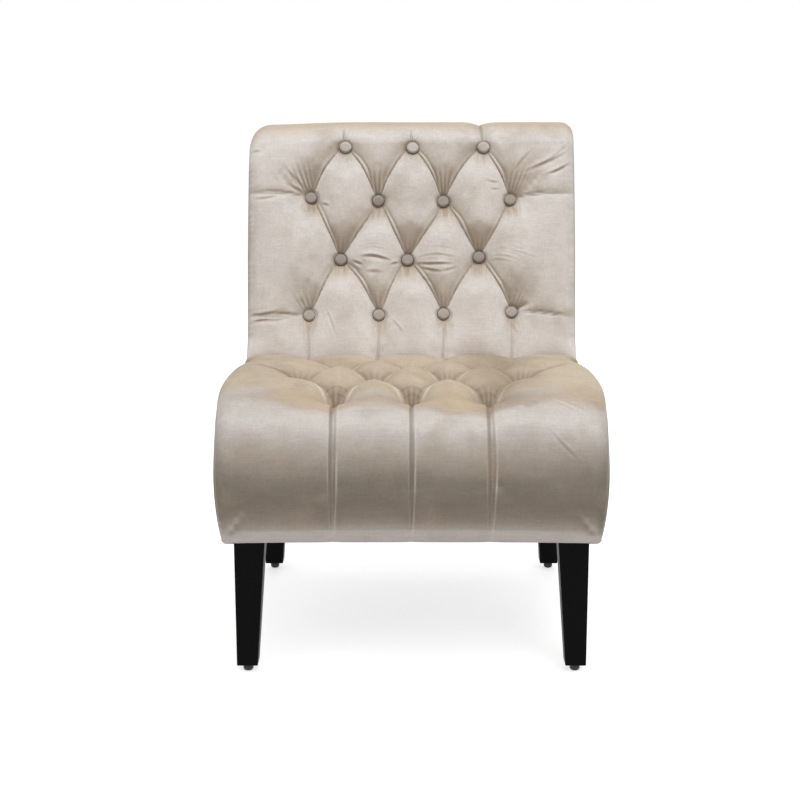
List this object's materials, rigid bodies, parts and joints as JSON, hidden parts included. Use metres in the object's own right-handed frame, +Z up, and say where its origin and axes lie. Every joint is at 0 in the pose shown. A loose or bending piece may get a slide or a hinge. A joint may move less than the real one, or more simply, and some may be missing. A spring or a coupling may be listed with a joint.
{
  "type": "slipper chair",
  "caption": "Armless upholstered lounge chair with a diamond-tufted raked back, a rolled tufted seat and square tapered legs.",
  "frame": {"origin": "on the floor, under the middle of the chair's box in plan", "axes": "+Z up, the sitter faces -Y, +X to the right in the front view"},
  "size_m": [0.608, 0.6691, 0.8309],
  "materials": {
    "velvet": "short-pile velvet with a soft sheen",
    "leg_lacquer": "black satin lacquer",
    "glide": "moulded",
    "timber": "sawn, unfinished",
    "spring_steel": "drawn wire",
    "foam": "cut foam",
    "webbing": "woven webbing and felt",
    "dust_cloth": "thin non-woven cloth"
  },
  "bodies": {
    "root": {"back_button_row_1_1": "velvet", "back_button_row_1_2": "velvet", "back_button_row_1_3": "velvet", "back_button_row_2_1": "velvet", "back_button_row_2_2": "velvet", "back_button_row_2_3": "velvet", "back_button_row_2_4": "velvet", "back_button_row_3_1": "velvet", "back_button_row_3_2": "velvet", "back_button_row_3_3": "velvet", "back_button_row_4_1": "velvet", "back_button_row_4_2": "velvet", "back_button_row_4_3": "velvet", "back_button_row_4_4": "velvet", "back_cover": "velvet", "back_foam": "foam", "back_lower_rail": "timber", "back_strap_1": "webbing", "back_strap_2": "webbing", "back_strap_3": "webbing", "back_top_rail": "timber", "dust_cover": "dust_cloth", "front_left_corner_block": "timber", "front_left_glide": "glide", "front_left_leg": "leg_lacquer", "front_rail": "timber", "front_right_corner_block": "timber", "front_right_glide": "glide", "front_right_leg": "leg_lacquer", "left_back_post": "timber", "left_side_rail": "timber", "outside_back_panel": "velvet", "rear_left_corner_block": "timber", "rear_left_glide": "glide", "rear_left_leg": "leg_lacquer", "rear_rail": "timber", "rear_right_corner_block": "timber", "rear_right_glide": "glide", "rear_right_leg": "leg_lacquer", "right_back_post": "timber", "right_side_rail": "timber", "seat_button_row_1_1": "velvet", "seat_button_row_1_2": "velvet", "seat_button_row_1_3": "velvet", "seat_button_row_2_1": "velvet", "seat_button_row_2_2": "velvet", "seat_button_row_2_3": "velvet", "seat_button_row_2_4": "velvet", "seat_button_row_3_1": "velvet", "seat_button_row_3_2": "velvet", "seat_button_row_3_3": "velvet", "seat_cover": "velvet", "seat_deck": "webbing", "seat_foam": "foam", "seat_spring_1": "spring_steel", "seat_spring_2": "spring_steel", "seat_spring_3": "spring_steel", "seat_spring_4": "spring_steel"}
  },
  "joints": []
}
